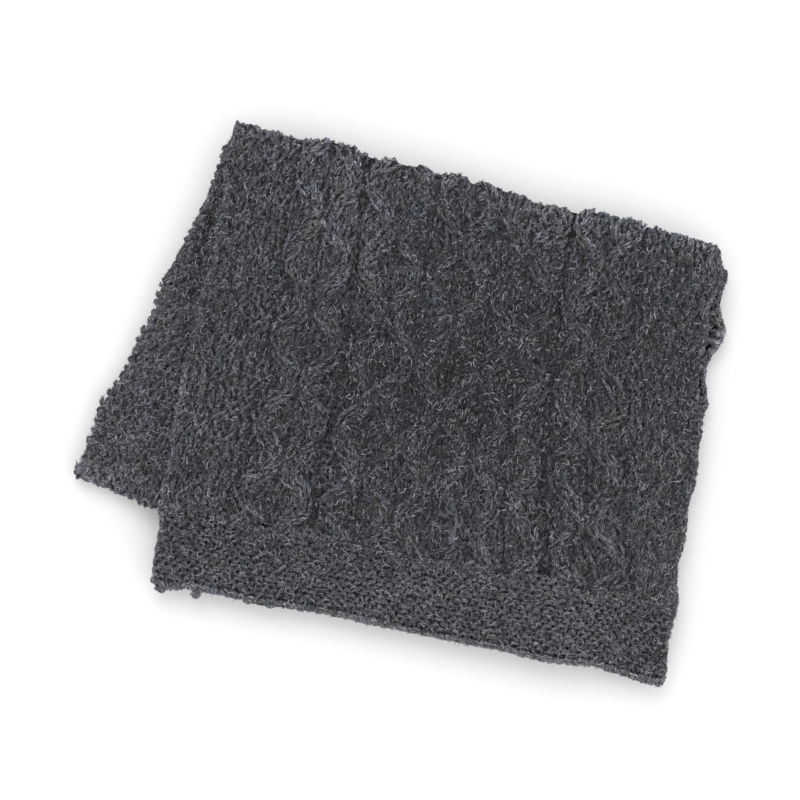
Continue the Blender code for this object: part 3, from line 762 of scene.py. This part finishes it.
def add_node(tree, kind, values=(), output=0, **settings):
    """Adds a node, sets it up, fills its sockets and gives one of its outputs."""
    node = tree.nodes.new("ShaderNode" + kind)
    for name, setting in settings.items():
        setattr(node, name, setting)
    fill_sockets(tree, node, values)
    return node.outputs[output]


def fill_shader(tree, colour, roughness, specular, *others):
    fill_sockets(tree, tree.nodes["Principled BSDF"], (
        ("Base Color", colour), ("Roughness", roughness), ("Specular IOR Level", specular),
        *others))


def math_node(tree, operation, *values):
    return add_node(tree, "Math", enumerate(values), operation=operation)


def vector_node(tree, operation, *values):
    return add_node(tree, "VectorMath", enumerate(values), operation=operation)


def noise_node(tree, vector, scale, detail=2, roughness=0.5):
    return add_node(tree, "TexNoise", (("Vector", vector), ("Scale", scale), ("Detail", detail),
                                       ("Roughness", roughness)), "Fac")


def streak_node(tree, vector, across, along, detail=2):
    """Noise drawn out along the yarn."""
    return noise_node(tree, vector_node(tree, "MULTIPLY", vector, (across, across, along)), 1,
                      detail, 0.55)


def remap(tree, *values):
    """Brings a value to a new range: value, low, high, new low, new high."""
    return add_node(tree, "MapRange", enumerate(values), "Result", clamp=True)


def mixed_colour(tree, factor, first, second, blend="MIX"):
    return add_node(tree, "Mix", ((0, factor), (6, first), (7, second)), 2,
                    data_type="RGBA", blend_type=blend)


def bump_node(tree, height, strength, distance):
    return add_node(tree, "Bump", (("Height", height), ("Strength", strength),
                                   ("Distance", distance)))


def yarn_material():
    """Heathered charcoal wool: three plies, with streaks of darker and lighter fibre."""
    material, tree = new_material("plied_charcoal_wool")
    yarn = add_node(tree, "Attribute", (), "Vector", attribute_name="yarn")
    tone = add_node(tree, "Attribute", (), "Fac", attribute_name="tone")
    place = add_node(tree, "TexCoord", (), "Object")

    # cos 3a from the cosine, so three plies show round the yarn
    way_round = vector_node(tree, "NORMALIZE", vector_node(tree, "MULTIPLY", yarn, (1, 1, 0)))
    cosine = add_node(tree, "SeparateXYZ", ((0, way_round),))
    square = math_node(tree, "MULTIPLY", cosine, cosine)
    plies = math_node(tree, "MULTIPLY", cosine, math_node(
        tree, "SUBTRACT", math_node(tree, "MULTIPLY", square, 4), 3))
    ply_height = remap(tree, plies, -1, 0.6, 0, 1)

    streaks = streak_node(tree, yarn, 1.45, 0.42)
    fine = streak_node(tree, yarn, 3.1, 0.60)
    flecks = streak_node(tree, yarn, 1.7, 0.46, 1)
    patches = noise_node(tree, place, 24, 3, 0.6)
    dapples = noise_node(tree, place, 170, 2, 0.6)
    tints = noise_node(tree, place, 75, 1)

    colour = WOOL_DARK
    for noise, low, high, share_low, share_high, other in (
            (streaks, 0.36, 0.64, 0, 1, WOOL_LIGHT), (flecks, 0.58, 0.68, 0, 0.8, WOOL_PALE),
            (fine, 0.39, 0.53, 1, 0, WOOL_BLACK), (tints, 0.58, 0.70, 0, 0.50, TINT_BLUE),
            (tints, 0.42, 0.30, 0, 0.55, TINT_OLIVE)):
        colour = mixed_colour(tree, remap(tree, noise, low, high, share_low, share_high),
                              colour, other)
    # bluer towards the back left, warmer towards the front right
    slant = add_node(tree, "VectorMath", ((0, place), (1, (-1, 1, 0))), "Value",
                     operation="DOT_PRODUCT")
    colour = mixed_colour(tree, 1, colour, mixed_colour(
        tree, remap(tree, slant, -0.22, 0.26, 0, 1), CAST_WARM, CAST_BLUE), "MULTIPLY")
    # the tone attribute carries painted shade and light; patches and dapples vary it at random, and
    # the valleys between plies are painted darker as painted shade
    shade = tone
    for noise, low, high, darkest, lightest in (
            (patches, 0.3, 0.7, 0.78, 1.44), (dapples, 0.34, 0.66, 0.72, 1.24),
            (ply_height, 0, 0.6, 0.42, 1)):
        shade = math_node(tree, "MULTIPLY", shade, remap(tree, noise, low, high, darkest, lightest))
    grey = add_node(tree, "CombineColor", ((0, shade), (1, shade), (2, shade)))
    relief = math_node(tree, "ADD", math_node(tree, "MULTIPLY", ply_height, 0.6),
                       math_node(tree, "MULTIPLY", fine, 0.9))
    fill_shader(tree, mixed_colour(tree, 1, colour, grey, "MULTIPLY"), 0.92, 0.25,
                ("Sheen Weight", 0.22), ("Sheen Roughness", 0.55),
                ("Sheen Tint", (0.80, 0.80, 0.86)), ("Normal", bump_node(tree, relief, 1, 0.0005)))
    return material


def ground_material():
    """The inside of the knitting, seen only between stitches, coloured dark as painted shade."""
    material, tree = new_material("shaded_charcoal_wool")
    place = add_node(tree, "TexCoord", (), "Object")
    fibres = noise_node(tree, vector_node(tree, "MULTIPLY", place, (900, 560, 900)), 1, 3, 0.65)
    colour = mixed_colour(tree, remap(tree, fibres, 0.42, 0.62, 0, 1), GROUND_DARK, GROUND_LIGHT)
    fill_shader(tree, colour, 0.97, 0.15, ("Normal", bump_node(tree, fibres, 0.8, 0.0006)))
    return material


def fibre_material():
    """Loose fibres on the yarn, from near black to light grey."""
    material, tree = new_material("loose_wool_fibres")
    tone = add_node(tree, "Attribute", (), "Fac", attribute_name="tone")
    colour = mixed_colour(tree, remap(tree, tone, 0.25, 1, 0, 1), FIBRE_DARK, WOOL_PALE)
    colour = mixed_colour(tree, remap(tree, tone, 0.20, 0.30, 1, 0), colour, FIBRE_BLACK)
    fill_shader(tree, colour, 0.85, 0.3)
    return material


# ==== the pieces

def ground_piece(node, material):
    """Ground of a stretch, dark as painted shade: the node's form, drawn in under the yarn."""
    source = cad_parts[node].data
    source.calc_loop_triangles()
    points = np.empty((len(source.vertices), 3))
    triangles = np.empty((len(source.loop_triangles), 3), np.int32)
    source.vertices.foreach_get("co", points.reshape(-1))
    source.loop_triangles.foreach_get("vertices", triangles.reshape(-1))
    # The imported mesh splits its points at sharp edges, so normals are summed by place.
    shared = np.unique(np.round(points * 1e6).astype(np.int64), axis=0, return_inverse=True)[1]
    shared = shared.reshape(-1)
    triangles = shared[triangles]
    spots = np.zeros((shared.max() + 1, 3))
    spots[shared] = points
    a, b, c = (spots[triangles[:, i]] for i in range(3))
    faces = np.cross(b - a, c - a)
    normals = np.zeros_like(spots)
    for corner in range(3):
        np.add.at(normals, triangles[:, corner], faces)
    spots -= unit(normals) * INSET * MM
    name = f"{node}_ground"
    mesh = mesh_from(name, spots / MM - ORIGIN, triangles.reshape(-1), np.full(len(triangles), 3))
    return piece_from(name, mesh, material)


def relief_crest(column, row):
    """Outer height of the top stretch's plain wales and purl lines."""
    crest = level_crest(WALL)(column, row)
    for lines, depth, reach in ((PURL_COLUMNS, PURL_DEPTH, PURL_REACH),
                                (CREASES, CREASE_DEPTH, CREASE_REACH)):
        for line in lines:
            crest = crest - depth * np.maximum(1 - np.abs(column - line) / reach, 0)
    return crest


def level_crest(level):
    return lambda column, row: np.full(np.broadcast(column, row).shape, level)


def last_row(column):
    """Row of the top stretch that lies well round the back fold at a column."""
    fold_y = mixed(BACK_FOLD_LEFT[1], BACK_FOLD_RIGHT[1], column / STITCHES)
    rows, places = zip(*ROW_LINES)
    return int(np.interp(fold_y + 10, places, rows))


def edge_of(surface, edge, side):
    """Round a stretch's side edge: row, turn from the upper side, and how far out."""
    def place(row, turn, out):
        reach = WALL / 2 - 0.9 * YARN + out
        column = edge + side * (np.sin(turn) * reach - WALL / 2) / STITCH_WIDTH
        return surface(column, row, WALL / 2 + np.cos(turn) * reach)
    return place


def build_top_bands():
    yarn = Yarn()
    for column in (*range(7), *range(51, 59)):
        rows = np.arange(-1, last_row(column), STITCH_ROWS)
        add_plain_stitches(yarn, top_place, (column,), rows, relief_crest)
    for purl in PURL_COLUMNS:
        rows = np.arange(0.5, last_row(purl), STITCH_ROWS)
        # the sunk purl bumps are painted darker, as painted shade in the purl lines
        add_bumps(yarn, top_place, (purl,), rows, 1, relief_crest, reach=0.4, rise=0.7,
                  thickness=1, shade=0.7)
    for side, edge in ((-1, 0), (1, float(STITCHES))):
        add_edge_loops(yarn, edge_of(top_place, edge, side), 0, last_row(edge) - 1, 2)
    return yarn


def build_cables(groups):
    yarn = Yarn()
    for first in groups:
        turn = -1 if CABLE_GROUPS.index(first) % 2 == 0 else 1
        for front, step in ((True, STITCH_ROWS), (False, BACK_STEP)):
            rows = np.arange(-1.4, last_row(first + 2), step)
            add_cable_strand(yarn, top_place, first, turn, front, rows)
    return yarn


def build_border():
    """Garter ridges of interlocking bumps, and the cast-on edge."""
    yarn = Yarn(unlikeness=0.16)
    height = border_top(STITCHES / 2) - GAP
    columns = np.arange(GARTER_STITCHES) + 0.5

    def place(column, row, above):
        return border_place(column, END_BEAD + row * GARTER_PITCH, above)

    crest = level_crest(WALL + 0.9)
    ridges = (height - END_BEAD) / GARTER_PITCH
    for start, across in ((0.75, columns), (0.25, columns[:-1] + 0.5)):
        add_bumps(yarn, place, across, np.arange(start, ridges + 0.6), 1, crest, reach=0.34,
                  rise=0.36, thickness=1, sink=1.15, shade=0.90, disorder=0.95, bare=1.25)
    # painted shade on the row in the crease above the cast-on edge, painted light on the row below
    # it
    add_bumps(yarn, place, columns, (-0.10,), 1, level_crest(WALL), rise=0.1, shade=0.3)
    add_bumps(yarn, place, np.arange(2 * GARTER_STITCHES) / 2 + 0.25, (-0.42,), 1, crest,
              reach=0.2, rise=0.2, thickness=0.95, shade=1.6)

    def front_edge(column, turn, out):
        reach = WALL / 2 - 0.9 * YARN + 0.5 + out
        return border_place(column, WALL / 2 + 0.4 - np.sin(turn) * reach,
                            WALL / 2 + 0.3 + np.cos(turn) * reach)

    # the cast-on loops are painted lighter, as painted light on the edge's rim
    add_edge_loops(yarn, front_edge, 0, float(GARTER_STITCHES), 1.1, shade=1.6)

    def border_rows(column, row, above):
        return border_place(column, row * STITCH_ROW, above)

    for side, edge in ((-1, 0), (1, float(GARTER_STITCHES))):
        add_edge_loops(yarn, edge_of(border_rows, edge, side), 0.5, height / STITCH_ROW, 1.4)
    for spot, size in (((-147.4, -0.9, 14.6), 4.2), ((-125.2, -0.8, 14.6), 3.5)):
        add_knot(yarn, spot, size)
    return yarn


def build_second():
    """The second stretch's wrong side where it shows, with one raised wale."""
    yarn = Yarn()
    last = int((SECOND_LENGTH + front_fold.turn + 3) / STITCH_ROW)
    rows = np.arange(0, last, STITCH_ROWS)

    def crest(column, row):
        bulge = np.maximum(np.sin(2 * pi * row * STITCH_ROW / LOBE_PITCH), 0)
        band = 1 - smoothstep(column, 5, 7)
        return WALL + 0.25 + PUCKER_HEIGHT * bulge * (0.4 + 0.6 * band) * (row > 0)

    def shown_rows(column):
        """Rows of a column that the top stretch leaves bare, and a few more."""
        spots = second_place(np.full(len(rows), column), rows.astype(float), 0)
        return rows[spots[:, 0] < column_x(0, np.clip(spots[:, 1], 0, 300)) + COVERED]

    for column in range(0, 13):
        if column == 7:
            add_plain_stitches(yarn, second_place, (7.1,), shown_rows(7.6),
                               lambda column, row: crest(column, row) + WALE_HEIGHT)
            continue
        bare = shown_rows(column + 0.5)
        for across, up, bend in ((0.5, 0.2, -1), (0, 0.2 + STITCH_ROWS / 2, 1)):
            add_bumps(yarn, second_place, (column + across,), bare + up, bend, crest, **WRONG_SIDE)
        add_plain_stitches(yarn, second_place, (column,), bare + 0.1,
                           lambda column, row: crest(column, row) + 0.1)
    add_edge_loops(yarn, edge_of(second_place, 0, -1), 0, last - 1, 2)
    for spot, size in (((-204.8, 62.6, 10.2), 4.8), ((-201, 58.8, 9.6), 3.8)):
        add_knot(yarn, spot, size)
    return yarn


def build_layer_edges():
    """Yarn at the side edges of the four lower layers."""
    # painted light: the layers' edges are coloured lighter against the shade they lie in
    yarn = Yarn(lightness=1.2)
    for layer in range(4):
        for side in (-1, 1):
            front, back = side_corners(layer, side)

            def place(y, turn, out, layer=layer, side=side):
                around = (pi / 2 - turn) * PRESSED_LAYER / 2
                return side_place(layer, side, around, y, out - 0.9 * YARN)

            add_edge_loops(yarn, place, front[1] + 2, back[1] - 2, 2 * STITCH_ROW,
                           shade=1.5, sides=5)
    # wrong side of the third layer from the floor, where it shows past the flap on the right
    rows = np.arange(18, 62, STITCH_ROWS) + 0.2

    def shown(column, row, height):
        return side_place(2, 1, 3.4 + column * STITCH_WIDTH, row * STITCH_ROW, height)

    # painted light: these bumps are coloured lighter against the shade under the flap's edge
    for columns, up, bend in (((0.1, 1.1, 2.1, 3.1), 0, -1),
                              ((0.6, 1.6, 2.6), STITCH_ROWS / 2, 1)):
        add_bumps(yarn, shown, columns, rows + up, bend, level_crest(0.9),
                  **{**WRONG_SIDE, "shade": 1.6})
    return yarn


def build_layer_ends():
    """Yarn at the folded and cast-off ends of the four lower layers."""
    # painted light: the recessed ends are coloured lighter against the shade over them
    yarn = Yarn(lightness=1.6)

    def end(lower_layer, side, span):
        def place(column, row, height):
            around = (row - 0.95 * span) * STITCH_ROW
            return end_place(lower_layer, side, span, column, around, height)
        return place

    for lower_layer in (0, 2):
        add_plain_stitches(yarn, end(lower_layer, 1, 2), np.arange(STITCHES), (0, 1.3, 2.6),
                           level_crest(0.15), sides=4)
    for columns, rows in ((np.arange(STITCHES) + 0.5, (0.25, 2.25)),
                          (np.arange(1, STITCHES), (1.25, 3.25))):
        add_bumps(yarn, end(1, -1, 2), columns, rows, -1, level_crest(0.15), sides=5)

    def cast_off(column, turn, out):
        around = (turn - pi / 2) * PRESSED_LAYER / 2
        return end_place(0, -1, 1, column, around, out - 0.9 * YARN)

    add_edge_loops(yarn, cast_off, 0, float(STITCHES), 1.35, sides=5)
    return yarn


def build_fibres(yarns, material, name, count, steps, longest, spread):
    """Loose fibres as narrow ribbons that lie more or less along their yarn."""
    starts, outwards, runs = (
        np.concatenate([part for yarn in yarns for part in getattr(yarn, field)])
        for field in ("points", "outwards", "runs"))
    pick = random.choice(np.flatnonzero(outwards[:, 2] > -0.1), count, replace=False)
    starts, outwards, runs = starts[pick], outwards[pick], runs[pick]
    sides = np.cross(outwards, runs)
    turn = random.normal(0, spread, (count, 1)) + pi * random.integers(0, 2, (count, 1))
    heading = unit((runs * np.cos(turn) + sides * np.sin(turn)) * (1, 1, 0.6))
    bend = np.cross(outwards, heading) * random.normal(0, 0.30, (count, 1))
    length = longest * random.uniform(0.42, 1, (count, 1))
    length = length * (0.4 + 0.6 * np.clip(outwards[:, 2:], 0, 1))
    lift = random.uniform(-0.05, 0.12, (count, 1))
    t = np.linspace(-0.5, 0.5, steps)[:, None]
    line = (starts + 0.15 * outwards)[:, None] + (heading * length)[:, None] * t
    line = line + ((bend + outwards * lift) * length)[:, None] * (4 * t * t)
    line[..., 2] = np.maximum(line[..., 2], 0.2)
    tangents = unit(np.gradient(line, axis=1))
    across = unit(np.cross(tangents, outwards[:, None]))
    width = FIBRE_WIDTH * (1 - 0.8 * np.abs(t)) * random.uniform(0.6, 1.4, (count, 1, 1))
    points = np.stack([line + side * across * width / 2 for side in (-1, 1)], axis=2)
    index = np.arange(points.size // 3).reshape(points.shape[:3])
    quads = quads_between(index[..., 0], index[..., 1])
    mesh = mesh_from(name, points.reshape(-1, 3), quads.reshape(-1), np.full(len(quads), 4))
    tones = np.broadcast_to(random.uniform(0, 1, (count, 1)), (count, points[0].size // 3))
    set_attribute(mesh, "tone", "FLOAT", "value", tones.reshape(-1))
    return piece_from(name, mesh, material)


def build_floor():
    bpy.ops.mesh.primitive_plane_add(size=8)
    floor = bpy.context.object
    floor.name = "floor"
    material, tree = new_material("pale_floor")
    grain = noise_node(tree, add_node(tree, "TexCoord", (), "Object"), 3)
    colour = mixed_colour(tree, grain, (0.90, 0.90, 0.90), (0.93, 0.93, 0.93))
    fill_shader(tree, colour, 0.9, 0)
    floor.data.materials.append(material)


def build_light():
    world = bpy.context.scene.world = bpy.data.worlds.new("studio")
    world.use_nodes = True
    fill_sockets(world.node_tree, world.node_tree.nodes["Background"],
                 (("Color", (1, 1, 1)), ("Strength", 0.95)))
    for name, spot, size, power in (("key", (-0.35, 0.95, 1.5), 1.2, 8.5),
                                    ("fill", (0.9, -0.5, 1.4), 1.4, 3)):
        data = bpy.data.lights.new(name, "AREA")
        data.shape = "DISK"
        data.size = size
        data.energy = power
        light = new_object(name, data)
        light.location = spot
        light.rotation_euler = light.location.to_track_quat("Z", "Y").to_euler()
    bpy.context.scene.view_settings.view_transform = "Standard"


def build_camera():
    """Straight above, turned so that the scarf lies in the picture as in the photograph."""
    data = bpy.data.cameras.new("camera")
    data.lens = 85
    data.sensor_width = 36
    camera = bpy.context.scene.camera = new_object("camera", data)
    right, down = (PICTURE_SIZE / 2 - np.array(PICTURE_ZERO)) * PIXEL * MM
    cosine, sine = cos(PICTURE_TURN), sin(PICTURE_TURN)
    seen_height = 0.024
    distance = PICTURE_SIZE * PIXEL * MM * data.lens / data.sensor_width
    camera.location = (right * cosine + down * sine, right * sine - down * cosine,
                       seen_height + distance)
    camera.rotation_euler = (0, 0, PICTURE_TURN)
    data.clip_start, data.clip_end = 0.05, 20


def main():
    build_floor()
    build_light()
    build_camera()
    wool, ground = yarn_material(), ground_material()
    grounds = {node: ground_piece(node, ground)
               for node in ("end_border", "top_stretch", "second_stretch", "hidden_layers")}
    yarns = {
        "garter_border": build_border(), "stockinette_bands": build_top_bands(),
        "o_cables": build_cables(CABLE_GROUPS[:2] + CABLE_GROUPS[-2:]),
        "honeycomb": build_cables(CABLE_GROUPS[2:-2]), "wrong_side_strip": build_second(),
        "layer_edges": build_layer_edges(), "layer_ends": build_layer_ends()}
    pieces = {name: piece_from(name, yarn.mesh(name), wool) for name, yarn in yarns.items()}
    loose = fibre_material()
    fibres = [build_fibres(yarns.values(), loose, *kind) for kind in FIBRES]
    for node, piece in grounds.items():
        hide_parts(node)


main()
